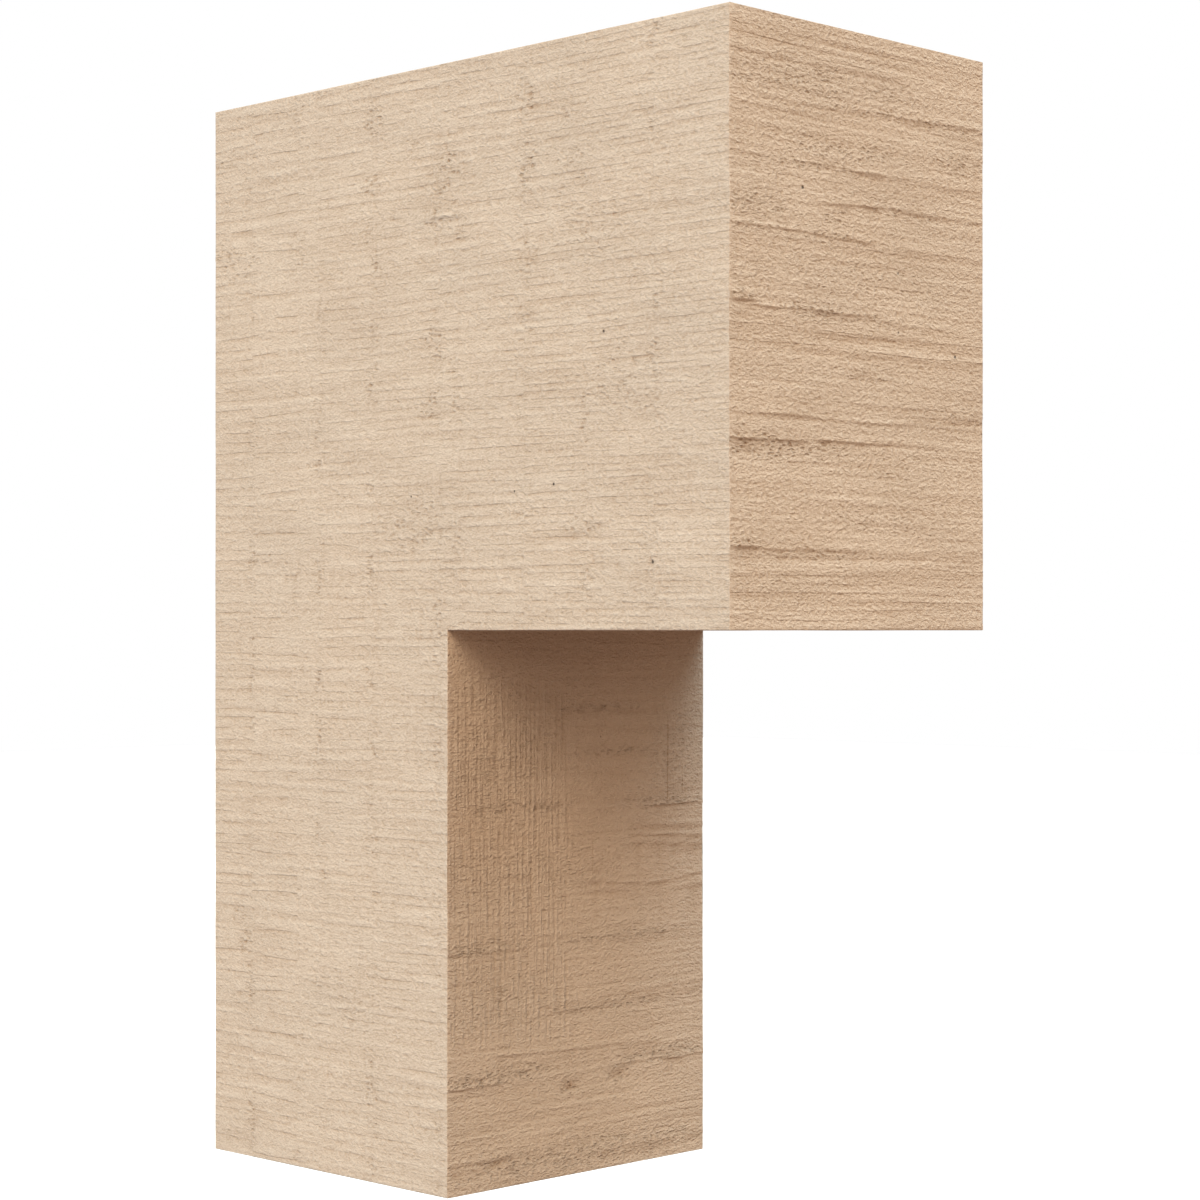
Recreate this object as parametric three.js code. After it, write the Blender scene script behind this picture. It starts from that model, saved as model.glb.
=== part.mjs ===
// A cast urethane corbel in the shape of an upside-down L, with the surface of rough-sawn timber.
// It is one solid casting: a leg that lies against the wall, and an arm that reaches out over it.
//
// Millimetres, +Z up. The wall is the plane Y = 0, the corbel reaches out along -Y, and X is its width.
// The origin is the middle of the back face, where the corbel is fixed to the wall.
import * as THREE from "three";
import {
  mergeGeometries,
  mergeVertices,
} from "three/addons/utils/BufferGeometryUtils.js";

// Driving sizes of the block
const WIDTH = 152.4; // side to side
const ARM_REACH = 304.8; // wall to the arm's front face
const LEG_DEPTH = 152.4; // wall to the leg's front face
const ARM_HEIGHT = 228.6; // soffit to top face
const LEG_DROP = 228.6; // foot to soffit

// Grain ledges of the two front faces: how far each lies below the top of its face, and its depth
const ARM_LEDGES = [
  { below: 28, depth: 0.7 },
  { below: 53, depth: 0.6 },
  { below: 79, depth: 0.6 },
  { below: 107, depth: 1.0 },
  { below: 146, depth: 0.7 },
  { below: 157, depth: 1.2 },
  { below: 197, depth: 1.0 },
];
const LEG_LEDGES = [
  { below: 33, depth: 0.5 },
  { below: 75, depth: 0.8 },
  { below: 129, depth: 0.9 },
  { below: 160, depth: 0.8 },
  { below: 185, depth: 1.0 },
  { below: 212, depth: 0.7 },
];
const LEDGE_FALL = 1.6; // height over which a ledge drops back
const LEDGE_WAVE = 38; // length of one swell in a ledge's depth
const LEDGE_LEAST = 0.5; // share of a ledge's depth that is left where it is faintest

// Saw bands of the two side faces: how far out from the wall each edge lies
const SAW_BAND_EDGES = [26, 71, 105, 145, 196, 230, 266];
const SAW_STEP_RUN = 3; // width over which one band steps to the next
const SAW_STEP_DEPTH = 0.6; // greatest depth of a band
const SAW_SWELL_DEPTH = 0.3; // greatest depth of the swells along a band
const SAW_SWELL_WAVE = 34; // length of one swell

// The soffit, which is planed by the mould and only swells a little
const SOFFIT_SWELL_DEPTH = 0.4;
const SOFFIT_SWELL_WAVE = 30;
const SOFFIT_SWELL_SLANT = 0.3; // how far a swell runs outwards for each millimetre across

// The relief runs out over this width beside an arris, so that the arrises stay straight.
const ARRIS_MARGIN = 7;

// The cells of the faces
const CELL_ACROSS = 19.05; // greatest width along X
const CELL_OUT = 20; // greatest length along Y
const CELL_UP = 14; // greatest height along Z
const CELL_LEAST = 1.2; // two lines nearer than this are drawn as one

// Where the faces lie
const HALF_WIDTH = WIDTH / 2;
const TOP = (ARM_HEIGHT + LEG_DROP) / 2;
const SOFFIT = TOP - ARM_HEIGHT;
const FOOT = SOFFIT - LEG_DROP;

// A repeatable number from 0 to 1 for each whole number.
function scatter(whole, seed) {
  const raw = Math.sin(whole * 127.1 + seed * 311.7) * 43758.5453;
  return raw - Math.floor(raw);
}

// A smooth swell between 0 and 1 along a line, with a scattered height at the end of each wave.
function swell(distance, wave, seed) {
  const place = distance / wave;
  const start = Math.floor(place);
  const { lerp, smoothstep } = THREE.MathUtils;
  const share = smoothstep(place - start, 0, 1);
  return lerp(scatter(start, seed), scatter(start + 1, seed), share);
}

// Depth of a front face at a height, between its top and bottom. Below each ledge the face leans
// out as it comes down, until the next ledge drops it back.
function ledgeDepth(x, z, top, bottom, ledges, seed) {
  const heights = ledges.map(({ below }) => top - below);
  const above = heights.findLastIndex((height) => height >= z);
  if (above < 0) return 0;

  const end = Math.max(heights[above + 1] ?? bottom, bottom);
  const back = heights[above] - LEDGE_FALL;
  const strength = THREE.MathUtils.lerp(LEDGE_LEAST, 1, swell(x, LEDGE_WAVE, seed + above));
  const share = z > back ? (heights[above] - z) / LEDGE_FALL : (z - end) / (back - end);
  return ledges[above].depth * strength * share;
}

// Depth of a side face: each saw band has a level of its own, and swells along its length.
function sawDepth(out, z, seed) {
  const passed = SAW_BAND_EDGES.filter((edge) => out > edge).length;
  const level = SAW_STEP_DEPTH * scatter(passed, seed);
  return level + SAW_SWELL_DEPTH * swell(z, SAW_SWELL_WAVE, seed + passed);
}

function soffitDepth(x, out, seed) {
  const along = out - SOFFIT_SWELL_SLANT * x;
  return SOFFIT_SWELL_DEPTH * swell(along, SOFFIT_SWELL_WAVE, seed);
}

// The share of the relief that is left at a distance from an arris.
function runOut(distance) {
  return THREE.MathUtils.smoothstep(distance, 0, ARRIS_MARGIN);
}

// Distance from a point of a side face to the nearest arris. The last term is the distance to the
// notch of the L, so it also covers the soffit's arris, the leg's front arris and the inner corner.
function toSideArris(out, z) {
  const notch = Math.hypot(
    Math.max(LEG_DEPTH - out, 0),
    Math.max(z - SOFFIT, 0),
  );
  return Math.min(out, ARM_REACH - out, TOP - z, z - FOOT, notch);
}

// Distance from a point of an oblong face to the nearest of its four edges.
function toOblongArris(x, along, start, end) {
  return Math.min(HALF_WIDTH - Math.abs(x), along - start, end - along);
}

// Lines across a face: its ends, the stops that lie clear of them and of each other, and evenly
// spaced lines between those.
function gridLines(ends, stops, largest) {
  const kept = [...ends];
  for (const stop of stops)
    if (kept.every((line) => Math.abs(line - stop) >= CELL_LEAST))
      kept.push(stop);
  kept.sort((a, b) => a - b);

  return kept.flatMap((line, n) => {
    if (n === 0) return [line];
    const gap = line - kept[n - 1];
    const cells = Math.ceil(gap / largest);
    return Array.from({ length: cells }, (_, c) => line - (gap * (cells - 1 - c)) / cells);
  });
}

// A ledge needs two lines, at its lip and at the foot of its drop.
function ledgeStops(ledges, top, bottom) {
  return ledges
    .flatMap(({ below }) => [top - below, top - below - LEDGE_FALL])
    .filter((height) => height > bottom);
}

// A saw band's edge needs two lines, one on each side of the step.
const bandStops = SAW_BAND_EDGES.flatMap((edge) => [
  edge - SAW_STEP_RUN / 2,
  edge + SAW_STEP_RUN / 2,
]).filter((out) => out > 0 && out < ARM_REACH);

const across = gridLines([-HALF_WIDTH, HALF_WIDTH], [], CELL_ACROSS);
const outward = gridLines([0, LEG_DEPTH, ARM_REACH], bandStops, CELL_OUT);
const upward = gridLines(
  [FOOT, SOFFIT, TOP],
  [
    ...ledgeStops(ARM_LEDGES, TOP, SOFFIT),
    ...ledgeStops(LEG_LEDGES, SOFFIT, FOOT),
  ],
  CELL_UP,
);

const between = (lines, low, high) =>
  lines.filter((line) => line >= low && line <= high);
const reversed = (lines) => lines.map((line) => -line).reverse();

// One face of the block as a plane of cells. The columns are measured along a direction that lies
// in the face, and the rows at right angles to it, so that the cells always face outwards. The
// depth is a function of the place, and is pressed in against the outward direction.
function face(facing, distance, direction, columns, rows, depthAt = () => 0) {
  const normal = new THREE.Vector3(...facing);
  const sideways = new THREE.Vector3(...direction);
  const upright = new THREE.Vector3().crossVectors(normal, sideways);
  const geometry = new THREE.PlaneGeometry(
    1,
    1,
    columns.length - 1,
    rows.length - 1,
  );
  const positions = geometry.attributes.position;
  const place = new THREE.Vector3();
  for (let n = 0; n < positions.count; n++) {
    const column = n % columns.length;
    const row = rows.length - 1 - Math.floor(n / columns.length);
    place
      .copy(normal)
      .multiplyScalar(distance)
      .addScaledVector(sideways, columns[column])
      .addScaledVector(upright, rows[row]);
    place.addScaledVector(normal, -depthAt(place));
    positions.setXYZ(n, place.x, place.y, place.z);
  }
  return geometry;
}

// A side face is an L, drawn as two oblongs that share their relief: the arm, and the leg below it.
function sideFaces(facing, direction, seed) {
  const depth = ({ y, z }) =>
    sawDepth(-y, z, seed) * runOut(toSideArris(-y, z));
  const facesOut = direction[1] < 0;
  const columns = (reach) => {
    const lines = between(outward, 0, reach);
    return facesOut ? lines : reversed(lines);
  };
  return [
    face(facing, HALF_WIDTH, direction, columns(ARM_REACH), between(upward, SOFFIT, TOP), depth),
    face(facing, HALF_WIDTH, direction, columns(LEG_DEPTH), between(upward, FOOT, SOFFIT), depth),
  ];
}

function frontFace(distance, bottom, top, ledges, seed) {
  const depth = ({ x, z }) =>
    ledgeDepth(x, z, top, bottom, ledges, seed) *
    runOut(toOblongArris(x, z, bottom, top));
  return face([0, -1, 0], distance, [1, 0, 0], across, between(upward, bottom, top), depth);
}

function soffitFace(seed) {
  const depth = ({ x, y }) =>
    soffitDepth(x, -y, seed) *
    runOut(toOblongArris(x, -y, LEG_DEPTH, ARM_REACH));
  return face([0, 0, -1], -SOFFIT, [1, 0, 0], across, between(outward, LEG_DEPTH, ARM_REACH), depth);
}

// The whole skin of the block, closed by joining the faces along their arrises. The top, the foot
// and the back are flat, as they bear on what the corbel carries and on the wall.
function blockGeometry() {
  const faces = [
    ...sideFaces([-1, 0, 0], [0, -1, 0], 3),
    ...sideFaces([1, 0, 0], [0, 1, 0], 8),
    frontFace(ARM_REACH, SOFFIT, TOP, ARM_LEDGES, 5),
    frontFace(LEG_DEPTH, FOOT, SOFFIT, LEG_LEDGES, 16),
    soffitFace(7),
    face([0, 0, 1], TOP, [1, 0, 0], across, reversed(outward)),
    face([0, 0, -1], -FOOT, [1, 0, 0], across, between(outward, 0, LEG_DEPTH)),
    face([0, 1, 0], 0, [-1, 0, 0], across, upward),
  ];
  for (const geometry of faces) {
    geometry.deleteAttribute("normal");
    geometry.deleteAttribute("uv");
  }
  const block = mergeVertices(mergeGeometries(faces));
  block.computeVertexNormals();
  return block;
}

// Urethane with its tan factory primer
const primedUrethane = new THREE.MeshStandardMaterial({
  color: 0xd5bfa6,
  roughness: 0.85,
  metalness: 0,
  flatShading: true,
});

const body = new THREE.Mesh(blockGeometry(), primedUrethane);
body.name = "corbel_body";

const corbel = new THREE.Group();
corbel.add(body);

export default corbel;
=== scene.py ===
"""Builds the visible surface of a cast urethane corbel, and a small studio to show it in.

The corbel is one casting with the surface of rough-sawn timber. Its relief is a depth in millimetres
for every point of every face, and is pressed inwards from the flat block that the solid gives.
"""

import math
from collections import namedtuple

import bpy
import numpy as np
from bpy.props import FloatProperty, FloatVectorProperty, PointerProperty
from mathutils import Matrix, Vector


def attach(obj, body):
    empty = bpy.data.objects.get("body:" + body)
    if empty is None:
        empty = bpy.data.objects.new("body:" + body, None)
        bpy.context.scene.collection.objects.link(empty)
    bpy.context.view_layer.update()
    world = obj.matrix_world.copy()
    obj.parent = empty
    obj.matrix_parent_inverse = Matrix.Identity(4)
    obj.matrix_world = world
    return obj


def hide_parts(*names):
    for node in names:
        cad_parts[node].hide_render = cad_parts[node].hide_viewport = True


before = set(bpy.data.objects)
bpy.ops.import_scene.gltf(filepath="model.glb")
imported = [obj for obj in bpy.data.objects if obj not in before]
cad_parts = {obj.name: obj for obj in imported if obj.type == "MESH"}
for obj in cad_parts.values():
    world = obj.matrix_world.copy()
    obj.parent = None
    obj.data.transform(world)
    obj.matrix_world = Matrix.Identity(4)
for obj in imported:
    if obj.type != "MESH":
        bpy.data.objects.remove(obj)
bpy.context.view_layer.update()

bl_info = {
    "name": "Rough-sawn corbel",
    "version": (1, 0, 0),
    "blender": (4, 5, 0),
    "location": "3D View > Sidebar > Corbel",
    "description": "Builds a cast urethane corbel with rough-sawn relief, and a studio for it",
    "category": "Add Mesh",
}

NODE = "corbel_body"
PIECE = "corbel_casting"
MM = 0.001  # one millimetre in metres


# The block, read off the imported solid

Block = namedtuple("Block", "half_width leg_depth arm_reach foot soffit top")


def read_block():
    """The block's sizes in millimetres. The leg's depth is how far the solid's foot reaches out from
    the wall, and the soffit is the lowest edge of the solid's outermost face."""
    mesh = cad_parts[NODE].data
    places = np.empty(len(mesh.vertices) * 3)
    mesh.vertices.foreach_get("co", places)
    x, y, z = (places / MM).reshape(-1, 3).T
    near = 0.01
    return Block(
        half_width=x.max(),
        leg_depth=-y[z < z.min() + near].min(),
        arm_reach=-y.min(),
        foot=z.min(),
        soffit=z[y < y.min() + near].min(),
        top=z.max(),
    )


BLOCK = read_block()
WIDTH = 2 * BLOCK.half_width
ARM_HEIGHT = BLOCK.top - BLOCK.soffit
LEG_DROP = BLOCK.soffit - BLOCK.foot


# Smooth noise and soft edges

NOISE_TABLE = 512


def smooth(share):
    """3t² - 2t³ of a share that is first held between 0 and 1."""
    share = np.clip(share, 0, 1)
    return share * share * (3 - 2 * share)


# How long the waves of a noise are, how wide, and how high
Wave = namedtuple("Wave", "length width height", defaults=(1,))


def ripple(along, across, wave, seed):
    """Smooth noise in waves of a length along and a width across, from minus its height to its
    height. Each whole wave has a random level, and a point takes the four nearest, mixed by smooth()
    of how far it lies between them."""
    heights = np.random.default_rng(seed).uniform(-1, 1, (NOISE_TABLE, NOISE_TABLE))
    along, across = np.broadcast_arrays(along / wave.length, across / wave.width)
    row, column = np.floor(along).astype(int), np.floor(across).astype(int)
    s, t = smooth(along - row), smooth(across - column)
    row, column = row % NOISE_TABLE, column % NOISE_TABLE
    next_row, next_column = (row + 1) % NOISE_TABLE, (column + 1) % NOISE_TABLE
    near = heights[row, column] * (1 - s) + heights[next_row, column] * s
    far = heights[row, next_column] * (1 - s) + heights[next_row, next_column] * s
    return wave.height * (near * (1 - t) + far * t)


def window(place, start, end, fade):
    """1 between start and end, running out to 0 over the fade outside each."""
    return smooth((place - start) / fade + 1) * smooth((end - place) / fade + 1)


# Marks on the faces, each placed so far along a face and so far down it, in millimetres

# A grain ledge. The face leans out to a lip and then drops back by the depth. It lies so far down
# from a start to an end, and may rise towards its end or sag in its middle.
Ledge = namedtuple("Ledge", "down depth start end rise sag", defaults=(0, 0))

# A patch: its middle, how far it reaches to each side and up and down, and its share
Area = namedtuple("Area", "along down half_along half_down share")

# A shallow dent, or a swelling where its depth is negative
Dent = namedtuple("Dent", "along down radius depth")

# A face's ledges and dents, and the areas where its fibres are torn and where it is finely lined
Marks = namedtuple("Marks", "ledges dents torn lined")


def each(kind, *rows):
    """One mark of a kind from each row of its numbers."""
    return tuple(kind(*row) for row in rows)


SIDE_MARKS = Marks(
    ledges=each(
        Ledge,
        (62.5, 1.0, 137, 157, 0, -1), (104, 0.8, 187, 200, -0.5), (104, 0.5, 93, 106),
        (190, 0.8, 131, 147, 4), (190.5, 0.8, 223, 235, 3), (65.5, 0.6, 2, 18), (264, 0.3, 0, 20),
        (317.5, 0.3, 22, 52, 1), (323.5, 0.4, 4, 22, 3), (388, 0.35, 80, 114, 4),
        (405.5, 0.5, 7, 13, 1), (412, 0.5, 128, 135, -1), (447.5, 0.45, 8, 24),
    ),
    dents=each(
        Dent,
        (106, 22, 4, -0.3), (193, 19, 5, -0.25), (215, 15, 5, -0.2), (223, 27, 4, -0.25),
        (160, 99, 5, -0.2), (199, 47, 3, 0.25), (152, 47, 3, 0.2),
    ),
    torn=each(
        Area,
        (107, 18, 5, 8, 0.8), (106, 47, 5, 7, 0.9), (109, 78, 5, 5, 0.8), (106, 105, 4, 5, 0.6),
        (106, 120, 3, 20, 0.4), (151, 43, 7, 10, 1.0), (146, 62, 10, 4, 0.7), (132, 31, 6, 3, 0.5),
        (157, 74, 4, 8, 0.6), (143, 110, 7, 6, 0.8), (142, 138, 7, 8, 0.7), (198, 20, 6, 7, 0.8),
        (198, 50, 5, 14, 0.9), (200, 80, 5, 6, 0.7), (198, 105, 4, 30, 0.4), (221, 30, 4, 4, 0.8),
        (223, 46, 4, 6, 0.7), (235, 75, 14, 12, 0.4), (247, 132, 14, 14, 0.4), (275, 52, 5, 5, 0.5),
        (9, 66, 10, 4, 0.7), (18, 75, 9, 4, 0.6), (10, 24, 9, 5, 0.4), (27, 87, 3, 10, 0.4),
        (74, 95, 4, 12, 0.4), (135, 185, 22, 12, 0.5), (229, 188, 12, 5, 0.5), (27, 213, 3, 9, 0.5),
        (27, 245, 2.5, 18, 0.6), (107, 275, 4, 7, 0.7), (117, 272, 3, 2, 0.8),
        (107, 310, 3.5, 14, 0.8), (74, 333, 2, 2, 1.0), (108, 340, 3.5, 8, 0.5),
        (17, 351, 3, 6, 0.8), (21, 364, 4, 6, 1.0), (24, 388, 4, 14, 0.4), (94, 380, 22, 14, 0.4),
        (107, 430, 3.5, 9, 0.6),
    ),
    lined=(),
)
ARM_MARKS = Marks(
    ledges=each(
        Ledge,
        (14.8, 0.5, 0, 100), (26, 0.5, 0, 62, 1), (30.4, 0.4, 62, 152, 2.6),
        (40.8, 0.6, 141, 152, 0.5), (53.2, 0.45, 8, 84, 0.3), (53, 0.4, 84, 152),
        (67.5, 0.6, 55, 82, 1.5), (65.8, 0.35, 80, 152, 0.8), (79.5, 0.55, 0, 80, -0.3),
        (80.5, 0.3, 80, 152, 0.5), (107.8, 0.9, 0, 13, 0.5), (108.6, 0.6, 14, 82, 0.5),
        (109, 0.35, 82, 130, -1), (130, 0.3, 70, 92, -1.5), (148.5, 0.4, 22, 56, -1, -1),
        (149, 0.4, 60, 112, 2, 1), (146.5, 0.45, 130, 152, 3), (143.6, 0.4, 134, 152, 1.5),
        (158, 1.1, 0, 40, 0.5), (157.2, 0.8, 53, 90, 0.8), (156.6, 0.4, 90, 120, 0.5),
        (198, 1.2, 0, 12), (198.2, 0.6, 12, 70, -0.4), (198.6, 0.3, 70, 140),
        (207, 0.35, 0, 90, 0.5), (175, 0.25, 20, 60, -1), (187, 0.25, 70, 110, -1.5),
    ),
    dents=each(
        Dent,
        (20, 146, 12, -0.3), (39, 147, 4, -0.25), (5, 105, 4, -0.4), (8, 195, 5, -0.3),
        (14, 162, 8, 0.4), (60, 71, 6, 0.25), (25, 134, 7, 0.25), (137, 40, 2, -0.3),
        (50, 66, 2, -0.3), (90, 88, 7, -0.2), (140, 73, 8, -0.2),
    ),
    torn=each(
        Area,
        (60, 21, 60, 5, 0.5), (30, 26, 34, 2.5, 0.6), (106, 30, 48, 2, 0.6), (50, 47, 34, 4.5, 0.6),
        (83, 46, 10, 3.5, 0.9), (138, 44, 16, 5, 0.7), (50, 54, 36, 2, 0.7), (16, 72, 20, 4.5, 0.9),
        (61, 72, 9, 4, 0.9), (110, 67, 44, 2, 0.5), (40, 80, 44, 2.5, 0.6), (70, 95, 80, 8, 0.25),
        (8, 106, 9, 3, 0.9), (56, 109, 28, 3.5, 0.8), (105, 110, 22, 3, 0.4),
        (80, 130, 18, 4, 0.35), (20, 161, 24, 5, 1.0), (54, 162, 16, 4, 0.8), (95, 165, 40, 6, 0.3),
        (139, 144, 14, 5, 0.4), (8, 196, 8, 3, 0.8), (52, 200, 22, 2.5, 0.8), (90, 186, 40, 5, 0.3),
    ),
    lined=each(
        Area,
        (76, 9, 400, 9, 1.0), (76, 33, 400, 6, 0.5), (76, 59, 400, 5, 0.6), (110, 82, 60, 6, 0.5),
        (76, 119, 400, 8, 1.1), (100, 145, 90, 5, 0.5), (76, 213, 400, 15, 0.9),
    ),
)
LEG_MARKS = Marks(
    ledges=each(
        Ledge,
        (33, 0.3, 66, 112), (51, 0.25, 74, 120), (73.5, 0.3, 17, 64), (75.4, 0.5, 92, 124),
        (75.4, 1.2, 124, 152), (83, 1.0, 110, 152, -2), (87, 1.1, 108, 152, -3),
        (90.5, 1.1, 112, 152, -3.5), (97.5, 1.0, 87, 98, 2), (96, 0.25, 98, 130, -2),
        (105.5, 1.0, 84, 152, 0, 3), (110, 0.9, 90, 152, -1, 2), (131, 0.45, 0, 44),
        (128.5, 0.45, 66, 152, -2.5), (156, 0.7, 55, 152, 2.5), (160.5, 0.55, 32, 152, 4.5),
        (174, 0.8, 30, 120, -3.5), (185.5, 0.9, 0, 27), (185, 0.5, 104, 128),
        (185.8, 1.0, 128, 152), (198, 0.3, 0, 60), (216, 0.9, 0, 32), (221, 0.6, 84, 152),
        (211, 0.4, 40, 152, 1),
    ),
    dents=each(
        Dent,
        (70.5, 191, 3, 1.8), (98.5, 189, 3.2, 1.8), (73, 199, 5, -0.4), (99, 194, 4, -0.3),
        (44, 72, 7, -0.2), (27, 218.5, 2, 1.8), (127, 186, 3, 0.4), (20, 30, 10, -0.2),
        (26, 182, 4, -0.3),
    ),
    torn=each(
        Area,
        (28, 50, 34, 40, 0.3), (88, 32.5, 25, 1.5, 0.9), (96, 51, 24, 1.5, 0.8),
        (40, 73, 26, 3, 0.9), (136, 55, 18, 20, 0.4), (128, 74, 28, 2.5, 0.8),
        (40, 100, 46, 14, 0.3), (18, 130, 26, 3.5, 0.7), (104, 130, 44, 2.5, 0.5),
        (30, 150, 34, 14, 0.35), (100, 159, 50, 2.5, 0.5), (28, 183, 30, 3.5, 0.9),
        (70, 191, 5, 4, 1.0), (99, 189, 6, 4, 1.0), (128, 183, 26, 3.5, 0.9), (76, 220, 80, 7, 0.6),
    ),
    lined=each(
        Area,
        (116, 84, 50, 9, 0.4), (118, 112, 40, 12, 0.6), (76, 140, 400, 8, 0.4),
        (90, 165, 90, 8, 0.6), (76, 210, 400, 14, 0.9),
    ),
)
PLAIN_MARKS = Marks((), (), (), ())

LEDGE_DROP = 0.6  # height over which a ledge drops back
RECESS_SHARE = 0.3  # share of the depth that is only reached in a hollow under the drop
RECESS_HEIGHT = 7.0
LEDGE_HEAL = 14.0  # height over which the face comes out again to a third of the depth
LEDGE_FADE = 7.0  # length over which the end of a ledge runs out
LIP_SHARE = 0.9  # share of the depth by which the lip stands proud
LIP_HEIGHT = 1.1  # height over which it rises to that

# Each ledge has a row of waves of its own, so they are one ledge wide.
LEDGE_WANDER = Wave(11, 1, 0.35)  # how a ledge's line wanders up and down
LEDGE_JITTER = Wave(4, 1, 0.25)
LEDGE_STRENGTH = 0.75  # share of its depth that a ledge has on average
LEDGE_CHANGE = Wave(5, 1, 0.45)  # how that share changes along it
DENT_STRETCH = 1.4  # a dent is this much longer than its radius, and this much lower


def ledge_relief(along, down, ledges, seed):
    """Depth of the grain ledges. With p the distance below a ledge, the cut is a share of
    smooth(p / drop) and a share of smooth(p / recess), times e^(-p / heal), and above the ledge the
    lip takes off e^(p / lip height). A ledge weakens and grows a little along its length."""
    depth = np.zeros(np.broadcast_shapes(along.shape, down.shape))
    for number, ledge in enumerate(ledges):
        share = np.clip((along - ledge.start) / (ledge.end - ledge.start), 0, 1)
        wander = ripple(along, number, LEDGE_WANDER, seed)
        wander = wander + ripple(along, number, LEDGE_JITTER, seed + 1)
        line = ledge.down - ledge.rise * share + ledge.sag * 4 * share * (1 - share) + wander
        past = down - line
        strength = window(along, ledge.start, ledge.end, LEDGE_FADE)
        strength = strength * (LEDGE_STRENGTH + ripple(along, number, LEDGE_CHANGE, seed + 2))
        dropped = smooth(past / LEDGE_DROP)
        cut = (1 - RECESS_SHARE) * dropped + RECESS_SHARE * smooth(past / RECESS_HEIGHT)
        cut = cut * np.exp(-np.maximum(past, 0) / LEDGE_HEAL)
        lip = (1 - dropped) * np.exp(np.minimum(past, 0) / LIP_HEIGHT)
        depth += ledge.depth * strength * (cut - LIP_SHARE * lip)
    return depth


def dent_relief(along, down, dents):
    """Each dent is its depth times e^(-(distance / radius)²), twice as long as it is high."""
    depth = 0
    for dent in dents:
        aside, below = along - dent.along, down - dent.down
        distance = np.hypot(aside / DENT_STRETCH, below * DENT_STRETCH)
        depth = depth + dent.depth * np.exp(-((distance / dent.radius) ** 2))
    return depth


def area_share(along, down, areas):
    """The strongest area at each point. With q the distance from its middle, in reaches, squared,
    an area is its share times e^(-q²)."""
    result = np.zeros(np.broadcast_shapes(along.shape, down.shape))
    for area in areas:
        away = ((along - area.along) / area.half_along) ** 2
        away = away + ((down - area.down) / area.half_down) ** 2
        result = np.maximum(result, area.share * np.exp(-(away**2)))
    return result


LUMPS = Wave(8, 4)  # the lumps of torn fibre
FRONT_WAVER = Wave(34, 45, 1.2)  # how the grain of a front wavers
FRONT_GRAIN = Wave(90, 1.7)
FRONT_GRAIN_LEAST = 0.3  # share of the long grain where a front isn't lined
FRONT_GRAIN_LINED = 1.2  # and what is added to it where it is
FRONT_FLECKS = Wave(18, 1.8, 0.2)
FRONT_SWELL = Wave(45, 24)


def front_relief(along, down, marks, relief, seed):
    """A front face: its marks, a long grain that is stronger where the face is lined, and lumps
    where its fibres are torn. Returns its depth, and its torn and its lined share."""
    depth = ledge_relief(along, down, marks.ledges, seed) + dent_relief(along, down, marks.dents)
    torn = area_share(along, down, marks.torn)
    lined = area_share(along, down, marks.lined)
    waver = down + ripple(along, down, FRONT_WAVER, seed + 3)
    grain = FRONT_GRAIN_LEAST + FRONT_GRAIN_LINED * lined
    grain = grain * ripple(along, waver, FRONT_GRAIN, seed + 4)
    grain = grain + ripple(along, waver, FRONT_FLECKS, seed + 5)
    swell = ripple(along, down, FRONT_SWELL, seed + 6)
    lumps = ripple(along, down, LUMPS, seed + 7)
    depth = relief.ledge_share * depth
    depth = depth + (relief.grain_depth * grain + relief.swell_depth * swell) / MM
    return depth + relief.torn_depth / MM * torn * lumps, torn, lined


# Saw bands of the two side faces

# A band ends so far out from the wall. Its strokes have a pitch and a share of the full depth, and
# the band has a level between 0 and 1 that it lies back by.
Band = namedtuple("Band", "end pitch stroke level")

SAW_BANDS = (
    Band(26, 4.6, 0.8, 0.55),
    Band(57, 8.6, 1.0, 0.1),
    Band(71, 8.6, 0.45, 0.3),
    Band(105, 4.3, 0.65, 0.0),
    Band(147, 3.9, 0.65, 0.45),
    Band(158, 3.3, 0.6, 0.15),
    Band(196, 4.3, 0.75, 0.65),
    Band(230, 2.8, 0.75, 0.2),
    Band(266, 2.5, 0.7, 0.5),
    Band(305, 2.4, 0.65, 0.05),
)
BAND_TORN = 0.75  # greatest torn share along a band's edge
BAND_TORN_WIDTH = 3.0  # how far the tearing reaches to each side of it
BAND_PATCHES = Wave(12, 13, 1.3)  # where along an edge it is torn
BAND_PATCHES_LEVEL = 0.1  # added to them before they are held between 0 and 1
BAND_STEP = 4.0  # width over which one band's level changes to the next one's
SIDE_GRAIN = Wave(20, 1.9)
SIDE_SWELL = Wave(34, 26)


def side_relief(out, down, marks, relief, seed):
    """A side face: saw bands, marks, a grain that runs along the board, and swells. The edges of
    the bands are torn here and there. Returns its depth and its torn share."""
    torn = area_share(out, down, marks.torn)
    level = SAW_BANDS[0].level
    for place, band in enumerate(SAW_BANDS[:-1]):
        past = out - band.end
        rise = SAW_BANDS[place + 1].level - band.level
        level = level + rise * smooth(past / BAND_STEP + 0.5)
        patches = smooth(BAND_PATCHES_LEVEL + ripple(out, down, BAND_PATCHES, seed + place))
        torn = np.maximum(torn, BAND_TORN * patches * np.exp(-((past / BAND_TORN_WIDTH) ** 2)))

    depth = ledge_relief(out, down, marks.ledges, seed) + dent_relief(out, down, marks.dents)
    grain = ripple(out, down, SIDE_GRAIN, seed + 21)
    swell = ripple(out, down, SIDE_SWELL, seed + 22)
    lumps = ripple(out, down, LUMPS, seed + 23)
    depth = relief.ledge_share * depth + relief.band_depth / MM * level
    depth = depth + (relief.kerf_depth * grain + relief.swell_depth * swell) / MM
    return depth + relief.torn_depth / MM * torn * lumps, torn


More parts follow.
